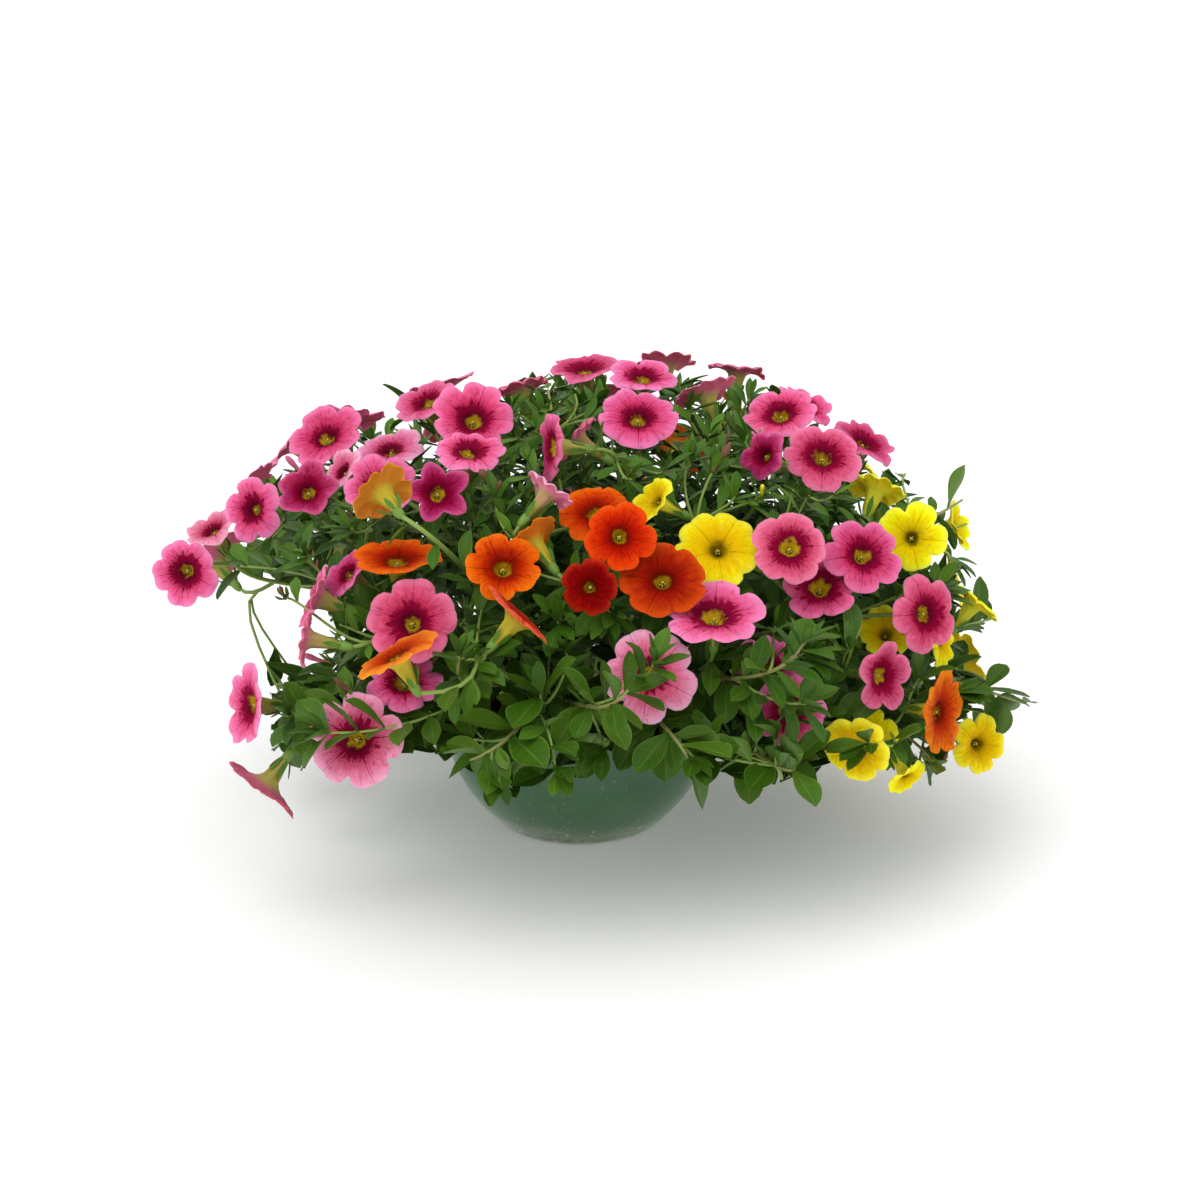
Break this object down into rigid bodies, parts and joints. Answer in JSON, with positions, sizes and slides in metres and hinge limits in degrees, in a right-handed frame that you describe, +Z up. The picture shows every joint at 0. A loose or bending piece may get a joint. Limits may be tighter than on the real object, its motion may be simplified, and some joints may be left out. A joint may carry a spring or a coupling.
{
  "type": "calibrachoa in a pot",
  "caption": "Mixed calibrachoa in a squat green bowl pot: pink, orange, red and yellow five-lobed blooms over a low, spreading mound of leafy stems",
  "frame": {"origin": "middle of the pot's flat base", "axes": "+Z up, the front of the mound faces -Y, +X to the right as seen from the front"},
  "size_m": [0.3348, 0.3223, 0.1849],
  "materials": {
    "pot": "satin dark green plastic with a scuffed, dusty foot",
    "soil": "dark moist potting mix of peat and bark",
    "pink_shoots": "soft satin petals over green leaves and stems",
    "orange_shoots": "soft satin petals over green leaves and stems",
    "yellow_shoots": "soft satin petals over green leaves and stems"
  },
  "bodies": {
    "root": {"pot": "pot", "soil": "soil", "pink_01": "pink_shoots", "pink_02": "pink_shoots", "pink_03": "pink_shoots", "pink_04": "pink_shoots", "pink_05": "pink_shoots", "pink_06": "pink_shoots", "pink_07": "pink_shoots", "pink_08": "pink_shoots", "pink_09": "pink_shoots", "pink_10": "pink_shoots", "pink_11": "pink_shoots", "pink_12": "pink_shoots", "pink_13": "pink_shoots", "pink_14": "pink_shoots", "pink_15": "pink_shoots", "pink_16": "pink_shoots", "pink_17": "pink_shoots", "pink_18": "pink_shoots", "pink_19": "pink_shoots", "pink_20": "pink_shoots", "pink_21": "pink_shoots", "pink_22": "pink_shoots", "orange_01": "orange_shoots", "orange_02": "orange_shoots", "orange_03": "orange_shoots", "orange_04": "orange_shoots", "orange_05": "orange_shoots", "orange_06": "orange_shoots", "orange_07": "orange_shoots", "yellow_01": "yellow_shoots", "yellow_02": "yellow_shoots", "yellow_03": "yellow_shoots", "yellow_04": "yellow_shoots", "yellow_05": "yellow_shoots", "pink_23": "pink_shoots", "pink_24": "pink_shoots", "pink_25": "pink_shoots", "yellow_06": "yellow_shoots", "yellow_07": "yellow_shoots", "yellow_08": "yellow_shoots", "yellow_09": "yellow_shoots", "yellow_10": "yellow_shoots", "yellow_11": "yellow_shoots", "orange_08": "orange_shoots", "pink_26": "pink_shoots", "yellow_back_1": "yellow_shoots", "orange_back_2": "orange_shoots", "pink_back_3": "pink_shoots", "yellow_back_4": "yellow_shoots", "pink_back_5": "pink_shoots", "pink_back_6": "pink_shoots", "orange_back_7": "orange_shoots", "pink_back_8": "pink_shoots", "pink_back_10": "pink_shoots", "pink_tip_1": "pink_shoots", "pink_tip_2": "pink_shoots", "pink_tip_3": "pink_shoots"}
  },
  "joints": []
}
